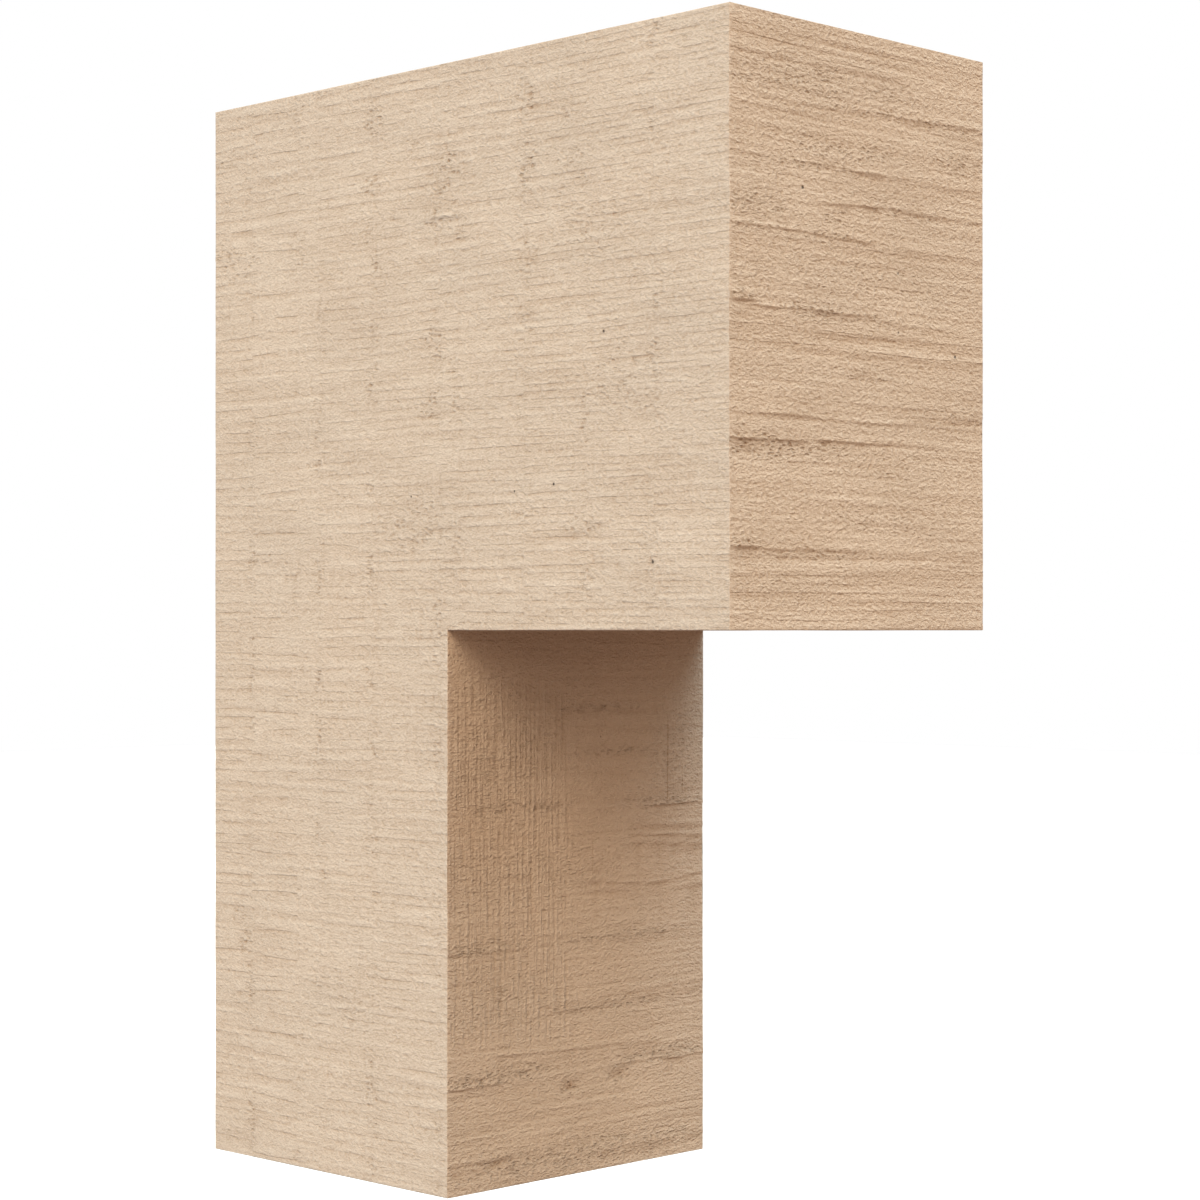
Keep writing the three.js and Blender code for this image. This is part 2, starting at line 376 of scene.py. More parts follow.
LEVEL_WAVER = Wave(26, 40, 1.2)
LEVEL_GRAIN = Wave(48, 4, 0.5)
LEVEL_SWELL = Wave(40, 30, 0.5)


def level_relief(out, across, relief, seed):
    """A level face, which is the soffit, top or foot: a quiet grain that runs out from the wall."""
    waver = across + ripple(out, across, LEVEL_WAVER, seed)
    grain = ripple(out, waver, LEVEL_GRAIN, seed + 1)
    swell = ripple(out, across, LEVEL_SWELL, seed + 2)
    return (relief.grain_depth * grain + relief.swell_depth * swell) / MM


# The grid that the skin is drawn on: one set of lines along each axis, shared by all the faces

GRID_UP = 1.02  # height of a grid row
GRID_FINE = 0.42  # and of the rows at the sharpest ledges
GRID_FLAT = 3.75  # width of a grid cell along X and Y
ARRIS_EASE = 0.6  # width of the eased strip beside an arris
ARRIS_DEPTH = 0.08  # how far easing sets the arris itself back
ARRIS_KEEP = 0.55  # share of a face's relief that is left on its arris
ARRIS_FADE = 5.0  # width over which the rest of it fades


def grid_lines(stops, pitch):
    """Lines from stop to stop: one at each stop, one beside it at the width of the easing, and
    evenly spaced ones between those, no further apart than the pitch."""
    lines = [np.array(stops[:1])]
    for start, end in zip(stops, stops[1:]):
        cells = math.ceil((end - start - 2 * ARRIS_EASE) / pitch)
        lines.append(np.linspace(start + ARRIS_EASE, end - ARRIS_EASE, cells + 1))
        lines.append(np.array([end]))
    return np.concatenate(lines)


def refined(lines, places):
    """Adds seven fine lines at each place, and takes away the lines that lie too near to them."""
    fine = np.concatenate([place + GRID_FINE * np.arange(-3, 4) for place in places])
    clear = abs(lines[:, None] - fine).min(1) > GRID_FINE / 2
    return np.sort(np.concatenate([lines[clear], fine]))


ACROSS = grid_lines((-BLOCK.half_width, BLOCK.half_width), GRID_FLAT)
OUT = grid_lines((0, BLOCK.leg_depth, BLOCK.arm_reach), GRID_FLAT)
SHARP_ROWS = (
    *(BLOCK.top - down for down in (28, 53, 62.5, 66.5, 79.7, 104, 108.2, 148.6, 157.8, 198.2)),
    *(BLOCK.soffit - down for down in (75.5, 87.5, 107, 129.5, 158, 174.5, 185.6)),
)
UP = refined(grid_lines((BLOCK.foot, BLOCK.soffit, BLOCK.top), GRID_UP), SHARP_ROWS)
RIGHT, ARM_END, HEAD = (len(lines) - 1 for lines in (ACROSS, OUT, UP))
LEG_END = int(np.argmin(abs(OUT - BLOCK.leg_depth)))
SOFFIT = int(np.argmin(abs(UP - BLOCK.soffit)))

# The axes, and the casting's four materials, by number
X, Y, Z = range(3)
SIDE, ARM_FRONT, LEG_FRONT, LEVEL = range(4)

# Where the noise of each face starts
SEEDS = {"left": 11, "right": 47, "arm": 83, "leg": 97, "soffit": 131, "top": 149, "foot": 151}

# A patch of the skin: its grid points, the axis it is pressed in along and which way, its depth in
# millimetres, its torn and its lined share, its material, the place of each point on the texture
# sheet in millimetres, and whether its cells have to be turned over to face outwards.
Patch = namedtuple("Patch", "points axis inwards depth torn lined material sheet flip")


def points(across, out, up):
    """The number of each grid point, from the numbers of its three lines."""
    return (across * len(OUT) + out) * len(UP) + up


def spare_arris(depth, margin, *distances):
    """Sets the face back by a margin, fades its relief towards an arris, and sets the arris back by
    the easing. The distances are those from the face's own arrises, and a concave corner isn't one."""
    distance = np.minimum.reduce(np.broadcast_arrays(*distances))
    fade = ARRIS_KEEP + (1 - ARRIS_KEEP) * smooth(distance / ARRIS_FADE)
    eased = ARRIS_DEPTH * (distance < ARRIS_EASE / 2)
    return np.maximum(margin / MM + depth * fade, 0) + eased


# The texture sheet is a square in millimetres. The two sides are turned to lock into each other.
SHEET = 700.0
SHEET_GAP = 3.5
SHEET_SECOND = BLOCK.arm_reach + 3 * SHEET_GAP
SHEET_THIRD = SHEET_SECOND + WIDTH + SHEET_GAP
SHEET_FOURTH = SHEET_THIRD + WIDTH + SHEET_GAP
FOOT_SCALE = 0.45  # the foot is drawn smaller, to fit into what is left of the sheet


def on_sheet(u, v, left, bottom, scale=1):
    """Places on the texture sheet. A scale of -1 turns a face by half a turn about its corner."""
    u, v = np.broadcast_arrays(u, v)
    return np.stack([left + scale * u, bottom + scale * v], -1)


def side_patches(at, inwards, marks, relief, seed):
    """A side face is an L: the arm, and the leg below it, which share the grid line between them."""
    patches = []
    for first_row, last_row, last_out in ((SOFFIT, HEAD, ARM_END), (0, SOFFIT, LEG_END)):
        line, row = np.arange(last_out + 1)[:, None], np.arange(first_row, last_row + 1)[None, :]
        out, down = OUT[line], BLOCK.top - UP[row]
        depth, torn = side_relief(out, down, marks, relief, seed)
        to_foot = UP[row] - BLOCK.foot
        to_notch = np.hypot(np.maximum(BLOCK.leg_depth - out, 0), np.maximum(ARM_HEIGHT - down, 0))
        to_edges = (out, BLOCK.arm_reach - out, down, to_foot, to_notch)
        depth = spare_arris(depth, relief.side_margin, *to_edges)
        if at == 0:
            sheet = on_sheet(out, to_foot, SHEET_GAP, ARM_HEIGHT + 2 * SHEET_GAP)
        else:
            corner = (BLOCK.arm_reach + 2 * SHEET_GAP, BLOCK.top - BLOCK.foot + SHEET_GAP)
            sheet = on_sheet(out, to_foot, *corner, scale=-1)
        own = points(at, line, row)
        patches.append(Patch(own, X, inwards, depth, torn, 0, SIDE, sheet, at > 0))
    return patches


def front_patch(at, first_row, last_row, marks, relief, seed, material, corner):
    """The front of the arm or of the leg. The leg's top edge is the concave corner under the arm."""
    line, row = np.arange(RIGHT + 1)[:, None], np.arange(first_row, last_row + 1)[None, :]
    along, down = ACROSS[line] + BLOCK.half_width, UP[last_row] - UP[row]
    depth, torn, lined = front_relief(along, down, marks, relief, seed)
    to_foot = UP[row] - UP[first_row]
    to_top = down if last_row == HEAD else WIDTH
    depth = spare_arris(depth, relief.front_margin, along, WIDTH - along, to_foot, to_top)
    sheet = on_sheet(along, to_foot, *corner)
    return Patch(points(line, at, row), Y, 1, depth, torn, lined, material, sheet, False)


def level_patch(at, inwards, first_out, last_out, relief, seed, corner, scale=1):
    """The soffit, the top or the foot. The soffit's inner edge is the concave corner at the leg."""
    line, reach = np.arange(RIGHT + 1)[:, None], np.arange(first_out, last_out + 1)[None, :]
    across, out = ACROSS[line], OUT[reach]
    depth = level_relief(out, across, relief, seed)
    to_back = out if first_out == 0 else WIDTH
    sides = (BLOCK.half_width - across, BLOCK.half_width + across)
    depth = spare_arris(depth, relief.side_margin, *sides, OUT[last_out] - out, to_back)
    sheet = on_sheet(across + BLOCK.half_width, out - OUT[first_out], *corner, scale=scale)
    return Patch(points(line, reach, at), Z, inwards, depth, 0, 0, LEVEL, sheet, inwards < 0)


def skin_patches(relief):
    """Every face but the back."""
    over_back = BLOCK.top - BLOCK.foot + 2 * SHEET_GAP
    over_top = BLOCK.arm_reach + 2 * SHEET_GAP
    over_leg = over_top + LEG_DROP + SHEET_GAP
    return [
        *side_patches(0, 1, SIDE_MARKS, relief, SEEDS["left"]),
        *side_patches(RIGHT, -1, PLAIN_MARKS, relief, SEEDS["right"]),
        front_patch(
            ARM_END, SOFFIT, HEAD, ARM_MARKS, relief, SEEDS["arm"], ARM_FRONT, (SHEET_SECOND, over_back)
        ),
        front_patch(
            LEG_END, 0, SOFFIT, LEG_MARKS, relief, SEEDS["leg"], LEG_FRONT, (SHEET_THIRD, over_top)
        ),
        level_patch(HEAD, -1, 0, ARM_END, relief, SEEDS["top"], (SHEET_THIRD, SHEET_GAP)),
        level_patch(SOFFIT, 1, LEG_END, ARM_END, relief, SEEDS["soffit"], (SHEET_THIRD, over_leg)),
        level_patch(0, 1, 0, LEG_END, relief, SEEDS["foot"], (SHEET_FOURTH, SHEET_GAP), FOOT_SCALE),
    ]


def back_outline():
    """The grid points round the flat back, in the order that faces it towards the wall."""
    line, row = np.arange(RIGHT + 1), np.arange(HEAD + 1)
    foot, left = points(line[:0:-1], 0, 0), points(0, 0, row[:-1])
    head, right = points(line[:-1], 0, HEAD), points(RIGHT, 0, row[:0:-1])
    return np.concatenate([foot, left, head, right])


def cell_corners(grid):
    """The values of a grid at the four corners of each of its cells, one after another."""
    corners = np.stack([grid[:-1, :-1], grid[1:, :-1], grid[1:, 1:], grid[:-1, 1:]], 2)
    return corners.reshape(-1, 4, *grid.shape[2:])


def hollow(depth):
    """How far each point lies behind the average of the 3 by 9 points around it."""
    padded = np.pad(depth, ((1, 1), (4, 4)), mode="edge")
    windows = np.lib.stride_tricks.sliding_window_view(padded, (3, 9))
    return np.maximum(depth - windows.mean((2, 3)), 0)


def area_normals(places, cells):
    """For each point the sum of the normals of its cells, each as long as its cell is large."""
    corners = places[cells]
    normals = np.cross(corners[:, 2] - corners[:, 0], corners[:, 3] - corners[:, 1])
    shares = np.repeat(normals, 4, axis=0)
    total = np.stack([np.bincount(cells.ravel(), axis, len(places)) for axis in shares.T], -1)
    return total / np.linalg.norm(total, axis=1, keepdims=True)


def build_mesh(relief):
    """One closed mesh. Each grid point is moved inwards by the depth of every face it lies on, and
    the flat back is one face drawn through its outline."""
    patches, back = skin_patches(relief), back_outline()
    used = np.unique(np.concatenate([patch.points.ravel() for patch in patches]))
    steps = np.unravel_index(used, (len(ACROSS), len(OUT), len(UP)))
    across, out, up = (lines[step] for lines, step in zip((ACROSS, OUT, UP), steps))
    places = np.stack([across, -out, up], -1)
    shift, torn, lined, sunk = np.zeros_like(places), *np.zeros((3, len(used)))
    cells, sheet, materials = [], [], []
    for patch in patches:
        own = np.searchsorted(used, patch.points)
        shift[own, patch.axis] = patch.inwards * patch.depth
        torn[own] = np.maximum(torn[own], patch.torn)
        lined[own] = np.maximum(lined[own], patch.lined)
        # How far a point lies in a hollow; the materials paint shade into the colour there
        sunk[own] = np.maximum(sunk[own], hollow(patch.depth))
        turn = slice(None, None, -1) if patch.flip else slice(None)
        cells.append(cell_corners(own)[:, turn])
        sheet.append(cell_corners(patch.sheet)[:, turn].reshape(-1, 2))
        materials.append(np.full(len(cells[-1]), patch.material))
    places += shift
    cells = np.concatenate(cells)
    outline = np.searchsorted(used, back)
    on_back = places[outline][:, (0, 2)] - (-BLOCK.half_width, BLOCK.foot)
    sheet.append(on_sheet(on_back[:, 0], on_back[:, 1], SHEET_SECOND, SHEET_GAP))
    facing_wall = np.tile((0.0, 1.0, 0.0), (len(outline), 1))

    mesh = bpy.data.meshes.new(PIECE)
    mesh.vertices.add(len(places))
    mesh.vertices.foreach_set("co", (places * MM).ravel())
    mesh.loops.add(cells.size + len(outline))
    mesh.loops.foreach_set("vertex_index", np.concatenate([cells.ravel(), outline]))
    mesh.polygons.add(len(cells) + 1)
    mesh.polygons.foreach_set("loop_start", 4 * np.arange(len(cells) + 1))
    mesh.polygons.foreach_set("material_index", np.concatenate([*materials, [LEVEL]]))
    mesh.polygons.foreach_set("use_smooth", np.ones(len(cells) + 1, bool))
    mesh.update(calc_edges=True)
    if mesh.validate():
        raise RuntimeError("the casting's mesh had faces that Blender refused")
    mesh.uv_layers.new(name="OFBake").data.foreach_set(
        "uv", (np.concatenate(sheet) / SHEET).ravel()
    )
    for name, values in (("torn", torn), ("lined", lined), ("sunk", sunk)):
        mesh.attributes.new(name, "FLOAT", "POINT").data.foreach_set("value", values)
    normals = area_normals(places, cells)[cells.ravel()]
    mesh.normals_split_custom_set(np.concatenate([normals, facing_wall]))
    return mesh


# Shader wiring


class Wiring:
    """Adds nodes to a node tree. An input given as a socket is linked, and any other is set."""

    def __init__(self, tree):
        self.tree = tree

    def feed(self, socket, value):
        if isinstance(value, bpy.types.NodeSocket):
            self.tree.links.new(value, socket)
        else:
            socket.default_value = value

    def add(self, kind, inputs, **settings):
        node = self.tree.nodes.new(kind)
        for name, value in settings.items():
            setattr(node, name, value)
        for name, value in inputs.items():
            self.feed(node.inputs[name], value)
        return node

    def math(self, operation, *values, clamp=False):
        inputs = dict(enumerate(values))
        node = self.add("ShaderNodeMath", inputs, operation=operation, use_clamp=clamp)
        return node.outputs[0]

    def vector(self, operation, *values):
        inputs = dict(enumerate(values))
        return self.add("ShaderNodeVectorMath", inputs, operation=operation).outputs[0]

    def times(self, first, second, clamp=False):
        return self.math("MULTIPLY", first, second, clamp=clamp)

    def line(self, value, slope, level, clamp=False):
        """Slope times value, plus level."""
        return self.math("MULTIPLY_ADD", value, slope, level, clamp=clamp)

    def share(self, value, whole):
        """How much of the whole the value is, held between 0 and 1."""
        return self.math("DIVIDE", value, whole, clamp=True)

    def total(self, *values):
        result = values[0]
        for value in values[1:]:
            result = self.math("ADD", result, value)
        return result

    def join(self, x, y, z):
        return self.add("ShaderNodeCombineXYZ", {"X": x, "Y": y, "Z": z}).outputs[0]

    def split(self, vector):
        return self.add("ShaderNodeSeparateXYZ", {"Vector": vector}).outputs

    def mix(self, share, first, second):
        inputs = {"Factor": share, "A": first, "B": second}
        node = self.add("ShaderNodeMix", {}, data_type="RGBA")
        for name, value in inputs.items():
            self.feed(next(s for s in node.inputs if s.name == name and s.enabled), value)
        return next(s for s in node.outputs if s.enabled)

    def group(self, tree, inputs):
        return self.add("ShaderNodeGroup", inputs, node_tree=tree).outputs

    def pattern(self, tree, place, **inputs):
        """The height or mask that a group gives at a place."""
        return self.group(tree, {"Place": place, **inputs})[0]

    def attribute(self, name):
        return self.add("ShaderNodeAttribute", {}, attribute_name=name).outputs["Fac"]

    def noise(self, place, detail, scale=1.0, **settings):
        inputs = {"Vector": place, "Scale": scale, "Detail": detail, **settings}
        return self.add("ShaderNodeTexNoise", inputs).outputs


SOCKETS = {1: "NodeSocketFloat", 3: "NodeSocketVector", 4: "NodeSocketColor"}


def new_group(name, inputs, outputs):
    """Starts a shader node group from the defaults of its inputs and the names and widths of its
    outputs. Returns its tree, its wiring, its inputs as sockets, and its outputs to be fed."""
    tree = bpy.data.node_groups.new(name, "ShaderNodeTree")
    for label, value in inputs.items():
        kind = SOCKETS[np.size(value)]
        socket = tree.interface.new_socket(label, in_out="INPUT", socket_type=kind)
        socket.default_value = value
    for label, size in outputs.items():
        tree.interface.new_socket(label, in_out="OUTPUT", socket_type=SOCKETS[size])
    source = tree.nodes.new("NodeGroupInput")
    sink = tree.nodes.new("NodeGroupOutput")
    return tree, Wiring(tree), source.outputs, sink.inputs


ORIGIN = (0.0, 0.0, 0.0)
WHITE = (1.0, 1.0, 1.0, 1.0)
GRAIN_ROUGHNESS = 0.6

# Slopes and levels, which turn noise, a distance or a share into another value
GRAIN_HEIGHT = (4.0, -2.0)
STROKE_PRESENCE = (4.0, -1.35)
PIT_SHAPE = (-1.7, 1.1)
HOLE_SHAPE = (-2.5, 2.5)
MOTTLE_LIGHT = (0.03, 1.0)
# Painted shade: the colour inside a pinhole is painted up to three quarters darker
HOLE_PAINTED_SHADE = (-0.75, 1.0)
MOTTLE_ROUGHNESS = (0.04, 0.84)
PATCH_SHAPE = (1.2, 1.0)


def grain_group():
    """Stretched noise from about -1 to 1, in grains of the given length and width."""
    inputs = {"Place": ORIGIN, "Length": 10.0, "Width": 1.0, "Detail": 2.0}
    tree, wiring, given, result = new_group("Grain", inputs, {"Height": 1})
    size = wiring.join(given["Length"], given["Width"], given["Width"])
    place = wiring.vector("DIVIDE", given["Place"], size)
    noise = wiring.noise(place, given["Detail"], Roughness=GRAIN_ROUGHNESS)
    wiring.feed(result["Height"], wiring.line(noise["Fac"], *GRAIN_HEIGHT))
    return tree


STROKE_WAVER = (90.0, 18.0, 36.0)  # how long the waves of a stroke's line are along the three axes
STROKE_WAVER_BY = 1.3  # how far they reach, in pitches
STROKE_DROP = 0.5  # height over which a stroke drops in
STROKE_LEFT = 0.35  # share of it that is left for each millimetre below its upper edge
STROKE_APART = 5.3  # how far apart the noise of one stroke and the next is read
STROKE_HEIGHT = -1.7  # what a cut is scaled by, so that a stroke reaches down to about -1


def stroke_group():
    """Thin cuts along the board, one under another at a pitch, from 0 down to about -1. Each drops
    in sharply at its upper edge and comes out slowly below it, and comes and goes along its length."""
    inputs = {"Place": ORIGIN, "Pitch": 3.0, "Length": 20.0}
    tree, wiring, given, result = new_group("Strokes", inputs, {"Height": 1})
    along, across, through = wiring.split(given["Place"])
    waver = wiring.noise(wiring.vector("DIVIDE", given["Place"], STROKE_WAVER), 1.0)
    level = wiring.math("DIVIDE", across, given["Pitch"])
    level = wiring.line(waver["Fac"], STROKE_WAVER_BY, level)
    number = wiring.math("FLOOR", level)
    left_over = wiring.math("SUBTRACT", wiring.math("ADD", number, 1.0), level)
    below = wiring.times(left_over, given["Pitch"])
    drop = wiring.share(below, STROKE_DROP)
    heal = wiring.math("POWER", STROKE_LEFT, below)
    run = wiring.math("DIVIDE", along, given["Length"])
    presence = wiring.noise(wiring.join(run, wiring.times(number, STROKE_APART), through), 2.0)
    here = wiring.line(presence["Fac"], *STROKE_PRESENCE, clamp=True)
    cut = wiring.times(wiring.times(drop, heal), here)
    wiring.feed(result["Height"], wiring.times(cut, STROKE_HEIGHT))
    return tree


PIT_STRETCH = 2.0  # how many times longer a pit is than it is wide
PIT_WOBBLE = 1.7  # scale of the noise that makes its outline ragged
PIT_HEIGHT = -1.3  # the lowest point of the deepest pits


def crumb_group():
    """Torn fibre: long pits of scattered depths, which lie apart from each other."""
    inputs = {"Place": ORIGIN, "Pit": 1.5}
    tree, wiring, given, result = new_group("Crumbs", inputs, {"Height": 1})
    long_pit = wiring.times(given["Pit"], PIT_STRETCH)
    size = wiring.join(long_pit, given["Pit"], given["Pit"])
    place = wiring.vector("DIVIDE", given["Place"], size)
    wobble = wiring.noise(place, 2.0, scale=PIT_WOBBLE)
    strayed = wiring.vector("ADD", place, wobble["Color"])
    cells = wiring.add("ShaderNodeTexVoronoi", {"Vector": strayed, "Scale": 1.0})
    shape = wiring.line(cells.outputs["Distance"], *PIT_SHAPE, clamp=True)
    scattered = wiring.add("ShaderNodeSeparateColor", {"Color": cells.outputs["Color"]}).outputs[0]
    lowest = wiring.times(scattered, PIT_HEIGHT)
    wiring.feed(result["Height"], wiring.times(shape, lowest))
    return tree


def pinhole_group():
    """1 inside a small round hole, falling to 0 at its radius."""
    inputs = {"Place": ORIGIN, "Centre": ORIGIN, "Radius": 0.6}
    tree, wiring, given, result = new_group("Pinhole", inputs, {"Mask": 1})
    way = wiring.vector("SUBTRACT", given["Place"], given["Centre"])
    away = wiring.add("ShaderNodeVectorMath", {0: way}, operation="LENGTH").outputs["Value"]
    share = wiring.math("DIVIDE", away, given["Radius"])
    wiring.feed(result["Mask"], wiring.line(share, *HOLE_SHAPE, clamp=True))
    return tree


SLIT_FADE = 0.3  # share of a slit that comes in over each millimetre from its ends


def slit_group():
    """1 on a thin line across the grain, at a place along it and between two heights."""
    inputs = {"Place": ORIGIN, "At": 0.0, "Low": 0.0, "High": 1.0, "Width": 0.5}
    tree, wiring, given, result = new_group("Slit", inputs, {"Mask": 1})
    along, across, _ = wiring.split(given["Place"])
    away = wiring.math("ABSOLUTE", wiring.math("SUBTRACT", along, given["At"]))
    line = wiring.math("SUBTRACT", 1.0, wiring.math("DIVIDE", away, given["Width"]), clamp=True)
    above = wiring.times(wiring.math("SUBTRACT", across, given["Low"]), SLIT_FADE, clamp=True)
    below = wiring.times(wiring.math("SUBTRACT", given["High"], across), SLIT_FADE, clamp=True)
    wiring.feed(result["Mask"], wiring.times(line, wiring.times(above, below)))
    return tree


def primer_group():
    """The primer's colour, with painted shade: painted darker and browner the lower the surface lies,
    and darkest in holes. It is also mottled in broad patches."""
    inputs = {"Colour": WHITE, "Painted shade colour": WHITE, "Low": 0.0, "Hole": 0.0, "Mottle": 0.0}
    tree, wiring, given, result = new_group("Primer", inputs, {"Colour": 4, "Roughness": 1})
    # Painted shade: mixes in the darker, browner colour as far as the surface is low
    painted_shade_mix = wiring.mix(given["Low"], given["Colour"], given["Painted shade colour"])
    # The mottle's random tone, times the shade painted inside pinholes
    bright = wiring.line(given["Mottle"], *MOTTLE_LIGHT)
    light = wiring.times(bright, wiring.line(given["Hole"], *HOLE_PAINTED_SHADE))
    colour = wiring.add("ShaderNodeVectorMath", {0: painted_shade_mix, "Scale": light}, operation="SCALE")
    wiring.feed(result["Colour"], colour.outputs[0])
    wiring.feed(result["Roughness"], wiring.line(given["Mottle"], *MOTTLE_ROUGHNESS))
    return tree


Groups = namedtuple("Groups", "grain strokes crumbs pinhole slit primer")
EVEN_PAINTED_SHADE = 0.25  # share of the painted shade colour on even ground, less on high ground, a painted highlight
SLIT_PAINTED_SHADE = 0.5  # and the painted shade that a slit adds to it

# A pinhole or slit is placed on a face: so far along it from its left or from the wall, and so far
# below its top. A slit runs down to a second height, and has a share of the full depth.
Pinhole = namedtuple("Pinhole", "along down radius")
Slit = namedtuple("Slit", "along down end share")

SIDE_PINHOLES = (
    Pinhole(240, 115, 0.8),
    Pinhole(213, 172, 0.7),
    Pinhole(266, 203, 0.7),
    Pinhole(130, 174, 0.6),
    Pinhole(191, 174, 0.6),
)
ARM_PINHOLES = (
    Pinhole(41, 63, 0.9),
    Pinhole(98, 90, 0.8),
    Pinhole(134, 120, 0.9),
    Pinhole(98, 113, 0.6),
)
LEG_PINHOLES = (Pinhole(88, 45, 0.7), Pinhole(33, 3, 0.5))
ARM_SLITS = (Slit(28.2, 104, 136, 0.2), Slit(28.2, 190, 208, 0.2), Slit(22, 12, 32, 0.25))
LEG_SLITS = (Slit(129.4, 36, 75, 1.0), Slit(138.7, 59, 74, 0.6), Slit(83, 88, 104, 0.5))


def side_places(marks):
    """The left side's marks as the face's own place: along, up, and the face's X."""
    return [(-mark.along, BLOCK.top - mark.down, -BLOCK.half_width) for mark in marks]


def front_places(marks, top, out):
    """A front face's marks as its own place: along, up, and the face's Y."""
    return [(mark.along - BLOCK.half_width, top - mark.down, -out) for mark in marks]


def face_place(wiring, axes):
    """The place on the board in millimetres: along the grain, across it and through it."""
    source = wiring.add("ShaderNodeTexCoord", {}).outputs["Object"]
    place = wiring.add("ShaderNodeVectorMath", {0: source, "Scale": 1 / MM}, operation="SCALE")
    x_y_z = wiring.split(place.outputs[0])
    return wiring.join(*(x_y_z["XYZ".index(axis)] for axis in axes))


def sawn_material(
    name, axes, groups, finish, rough=1.0, shade=1.0, pit=1.4, extra=None, pinholes=(), slits=()
):
    """The primed surface of one kind of face. The axes are the ones along, across and through the
    grain. Its fine relief is a height in millimetres that feeds one Bump node, times the face's own
    roughness. It also paints shade into the primer, scaled by the face's own shade: painted shade where
    the relief is low, in pinholes, slits and modelled hollows, and a painted highlight where it is
    high.
    A face may have extra relief, from a function that gives its cuts and its level."""
    material = bpy.data.materials.new(name)
    material.use_nodes = True
    wiring = Wiring(material.node_tree)
    shader = material.node_tree.nodes["Principled BSDF"]
    place = face_place(wiring, axes)
    torn, sunk = wiring.attribute("torn"), wiring.attribute("sunk")

    def grain(length, width, detail=2.0):
        return wiring.pattern(groups.grain, place, Length=length, Width=width, Detail=detail)

    crumbs = wiring.pattern(groups.crumbs, place, Pit=pit)
    patches = wiring.line(grain(26.0, 9.0, 1.0), *PATCH_SHAPE, clamp=True)
    least = wiring.line(patches, finish.crumb_floor, finish.crumb_floor)
    torn_share = wiring.math("ADD", torn, least)
    fine = wiring.total(
        wiring.times(grain(2.8, 1.7), finish.grain_depth / MM * rough),
        wiring.times(grain(60.0, 2.3, 0.0), finish.scratch_depth / MM * rough),
        wiring.times(grain(1.3, 1.0, 3.0), finish.pore_depth / MM * rough),
        wiring.times(wiring.times(crumbs, torn_share), finish.crumb_depth / MM * rough),
    )
    cuts, level = extra(wiring, groups, place, finish) if extra else (0.0, 0.0)
    fine = wiring.math("ADD", fine, cuts)
    holes = [
        wiring.pattern(groups.pinhole, place, Centre=centre, Radius=radius)
        for centre, radius in pinholes
    ]
    slit_masks = [
        wiring.times(wiring.pattern(groups.slit, place, **ends), share) for ends, share in slits
    ]
    hole = wiring.total(0.0, *holes)
    cut = wiring.total(0.0, *slit_masks)
    height = wiring.total(
        fine,
        level,
        wiring.times(hole, -finish.hole_depth / MM),
        wiring.times(cut, -finish.slit_depth / MM),
    )
    # Painted shade: darker where the fine relief is low, in slits and in the modelled hollows, and a
    # painted highlight, lighter than on even ground, where the relief stands high
    shade_from_fine = wiring.line(fine, -finish.painted_shade_share * shade, EVEN_PAINTED_SHADE)
    shade_from_hollows = wiring.line(sunk, finish.hollow_shade_share, wiring.times(cut, SLIT_PAINTED_SHADE))
    low = wiring.math("ADD", shade_from_fine, shade_from_hollows, clamp=True)
    primer = wiring.group(
        groups.primer,
        {
            "Colour": (*finish.colour, 1.0),
            "Painted shade colour": (*finish.painted_shade_colour, 1.0),
            "Low": low,
            "Hole": hole,
            "Mottle": grain(60.0, 25.0, 1.0),
        },
    )
    bump = wiring.add("ShaderNodeBump", {"Strength": 1.0, "Distance": MM, "Height": height})
    # The base colour carries the painted shade and the painted highlight
    wiring.feed(shader.inputs["Base Color"], primer["Colour"])
    wiring.feed(shader.inputs["Roughness"], primer["Roughness"])
    wiring.feed(shader.inputs["Normal"], bump.outputs["Normal"])
    shader.inputs["Specular IOR Level"].default_value = finish.gloss
    return material


LINE_GRAIN = 0.4  # height of the grain between the long strokes, as a share of theirs


def long_lines(wiring, groups, place, finish):
    """Long strokes and a long fine grain where a front is lined."""
    strokes = wiring.pattern(groups.strokes, place, Pitch=3.3, Length=70.0)
    grain = wiring.pattern(groups.grain, place, Length=80.0, Width=1.9, Detail=1.0)
    lines = wiring.line(grain, LINE_GRAIN, strokes)
    share = wiring.times(wiring.attribute("lined"), finish.line_depth / MM)
    return wiring.times(lines, share), 0.0


BAND_RAGGED = 16.0  # length of the waves along a band's edge
BAND_RAGGED_BY = 0.9  # how far they reach to each side
RAMP_PITCH = 10.0  # the ramp holds shares, so it holds a pitch as its share of this
BAND_ALONG, BAND_ACROSS = 700.0, 130.0  # how far a whole level moves the pattern


